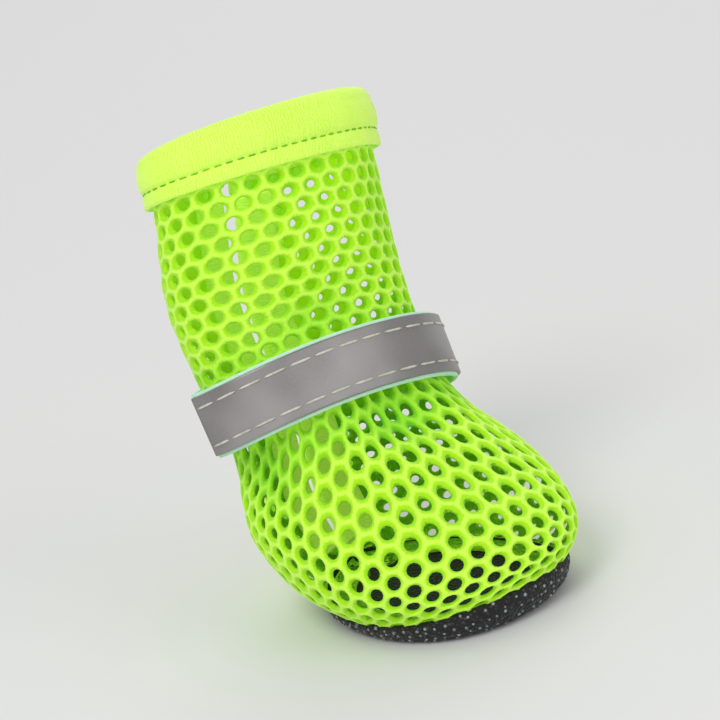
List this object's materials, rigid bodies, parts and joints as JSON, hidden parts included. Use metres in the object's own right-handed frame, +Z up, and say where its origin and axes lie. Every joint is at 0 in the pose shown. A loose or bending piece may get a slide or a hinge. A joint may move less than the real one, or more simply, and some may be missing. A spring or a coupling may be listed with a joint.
{
  "type": "dog boot",
  "caption": "Small dog's soft mesh boot with a padded collar tape, a heel slit, a black fabric sole and a hook-and-loop ankle strap with grey reflective tape.",
  "frame": {"origin": "on the ground, under the middle of the foot", "axes": "+X to the toe, +Y to the boot's left, +Z up, sole flat on the ground"},
  "size_m": [0.0834, 0.0684, 0.1135],
  "materials": {
    "sole": "black woven fabric with small rubber dots",
    "mesh": "fluorescent yellow-green large-hole air mesh",
    "tape": "soft brushed tape",
    "strap": "pale mint hook-and-loop tape",
    "reflective": "grey reflective tape with a satin sheen"
  },
  "bodies": {
    "root": {"sole": "sole", "upper": "mesh", "collar_binding": "tape", "slit_binding_right": "tape", "slit_binding_left": "tape", "strap": "strap", "reflective_tape": "reflective"}
  },
  "joints": []
}
